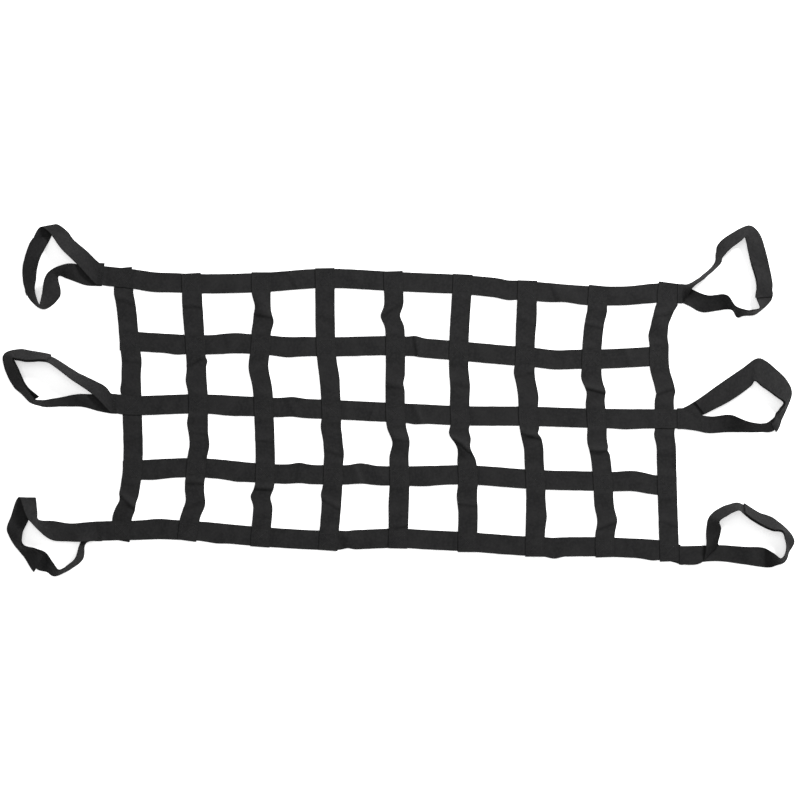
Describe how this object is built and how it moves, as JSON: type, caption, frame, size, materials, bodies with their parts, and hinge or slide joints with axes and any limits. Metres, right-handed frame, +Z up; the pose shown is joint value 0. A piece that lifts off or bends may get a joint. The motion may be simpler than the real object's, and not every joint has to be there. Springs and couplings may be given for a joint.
{
  "type": "webbing cargo net with hook-and-loop ties",
  "caption": "Flat rectangular net of crossed, sewn webbing straps that folds in two, with hook-and-loop wrap ties along both short ends for fastening round bars.",
  "frame": {"origin": "centre of the footprint, on the surface the net is laid on", "axes": "+X along the long straps, +Y across the net, +Z up from the surface"},
  "size_m": [1.5367, 0.683, 0.0385],
  "materials": {
    "webbing": "black ribbed polyester webbing, low sheen along the ribs",
    "loop_tape": "black napped loop pile, dull",
    "hook_tape": "black woven hook tape, fine stiff hooks",
    "thread": "black bonded polyester thread, slight sheen"
  },
  "bodies": {
    "net_left": {"long_strap_1_left": "webbing", "long_strap_2_left": "webbing", "long_strap_3_left": "webbing", "long_strap_4_left": "webbing", "long_strap_5_left": "webbing", "cross_strap_1": "webbing", "cross_strap_2": "webbing", "cross_strap_3": "webbing", "cross_strap_4": "webbing", "cross_strap_5": "webbing", "box_stitching_left": "thread", "seam_stitching_left": "thread"},
    "net_right": {"long_strap_1_right": "webbing", "long_strap_2_right": "webbing", "long_strap_3_right": "webbing", "long_strap_4_right": "webbing", "long_strap_5_right": "webbing", "cross_strap_6": "webbing", "cross_strap_7": "webbing", "cross_strap_8": "webbing", "cross_strap_9": "webbing", "box_stitching_right": "thread", "seam_stitching_right": "thread"},
    "tie_1_left": {"loop_arm_1_left": "webbing", "loop_tape_1_left": "loop_tape", "hook_arm_1_left": "webbing"},
    "tab_1_left": {"hook_tab_1_left": "webbing", "hook_tape_1_left": "hook_tape"},
    "tie_3_left": {"loop_arm_3_left": "webbing", "loop_tape_3_left": "loop_tape", "hook_arm_3_left": "webbing"},
    "tab_3_left": {"hook_tab_3_left": "webbing", "hook_tape_3_left": "hook_tape"},
    "tie_5_left": {"loop_arm_5_left": "webbing", "loop_tape_5_left": "loop_tape", "hook_arm_5_left": "webbing"},
    "tab_5_left": {"hook_tab_5_left": "webbing", "hook_tape_5_left": "hook_tape"},
    "tie_1_right": {"loop_arm_1_right": "webbing", "loop_tape_1_right": "loop_tape", "hook_arm_1_right": "webbing"},
    "tab_1_right": {"hook_tab_1_right": "webbing", "hook_tape_1_right": "hook_tape"},
    "tie_3_right": {"loop_arm_3_right": "webbing", "loop_tape_3_right": "loop_tape", "hook_arm_3_right": "webbing"},
    "tab_3_right": {"hook_tab_3_right": "webbing", "hook_tape_3_right": "hook_tape"},
    "tie_5_right": {"loop_arm_5_right": "webbing", "loop_tape_5_right": "loop_tape", "hook_arm_5_right": "webbing"},
    "tab_5_right": {"hook_tab_5_right": "webbing", "hook_tape_5_right": "hook_tape"}
  },
  "joints": [
    {"name": "net_fold", "type": "hinge", "parent": "net_left", "child": "net_right", "pos_m": [0.057, 0, 0.0015], "axis": [0, -1, 0], "range_deg": [0, 150]},
    {"name": "tie_1_left_swing", "type": "hinge", "parent": "net_left", "child": "tie_1_left", "pos_m": [-0.5855, 0.243, 0.0048], "axis": [0, 1, 0], "range_deg": [0, 90]},
    {"name": "tab_1_left_peel", "type": "hinge", "parent": "tie_1_left", "child": "tab_1_left", "pos_m": [-0.71744, 0.24727, 0.01659], "axis": [0.7661, -0.1057, 0.634], "range_deg": [0, 75]},
    {"name": "tie_3_left_swing", "type": "hinge", "parent": "net_left", "child": "tie_3_left", "pos_m": [-0.5565, -0.006, 0.0048], "axis": [0, 1, 0], "range_deg": [0, 90]},
    {"name": "tab_3_left_peel", "type": "hinge", "parent": "tie_3_left", "child": "tab_3_left", "pos_m": [-0.73727, 0.09052, 0.01982], "axis": [0, -0.499, 0.8666], "range_deg": [0, 75]},
    {"name": "tie_5_left_swing", "type": "hinge", "parent": "net_left", "child": "tie_5_left", "pos_m": [-0.5855, -0.254, 0.0048], "axis": [0, 1, 0], "range_deg": [0, 90]},
    {"name": "tab_5_left_peel", "type": "hinge", "parent": "tie_5_left", "child": "tab_5_left", "pos_m": [-0.74023, -0.2779, 0.01526], "axis": [-0.6858, 0.1247, -0.717], "range_deg": [0, 75]},
    {"name": "tie_1_right_swing", "type": "hinge", "parent": "net_right", "child": "tie_1_right", "pos_m": [0.5485, 0.207, 0.0048], "axis": [0, -1, 0], "range_deg": [0, 90]},
    {"name": "tab_1_right_peel", "type": "hinge", "parent": "tie_1_right", "child": "tab_1_right", "pos_m": [0.70165, 0.26141, 0.00999], "axis": [-0.9685, 0, 0.249], "range_deg": [0, 75]},
    {"name": "tie_3_right_swing", "type": "hinge", "parent": "net_right", "child": "tie_3_right", "pos_m": [0.5485, -0.036, 0.0048], "axis": [0, -1, 0], "range_deg": [0, 90]},
    {"name": "tab_3_right_peel", "type": "hinge", "parent": "tie_3_right", "child": "tab_3_right", "pos_m": [0.63191, 0.01561, 0.00907], "axis": [-0.5397, 0.8224, -0.1799], "range_deg": [0, 75]},
    {"name": "tie_5_right_swing", "type": "hinge", "parent": "net_right", "child": "tie_5_right", "pos_m": [0.5485, -0.3, 0.0048], "axis": [0, -1, 0], "range_deg": [0, 90]},
    {"name": "tab_5_right_peel", "type": "hinge", "parent": "tie_5_right", "child": "tab_5_right", "pos_m": [0.72279, -0.23767, 0.0187], "axis": [0.2166, 0.5415, -0.8123], "range_deg": [0, 75]}
  ]
}
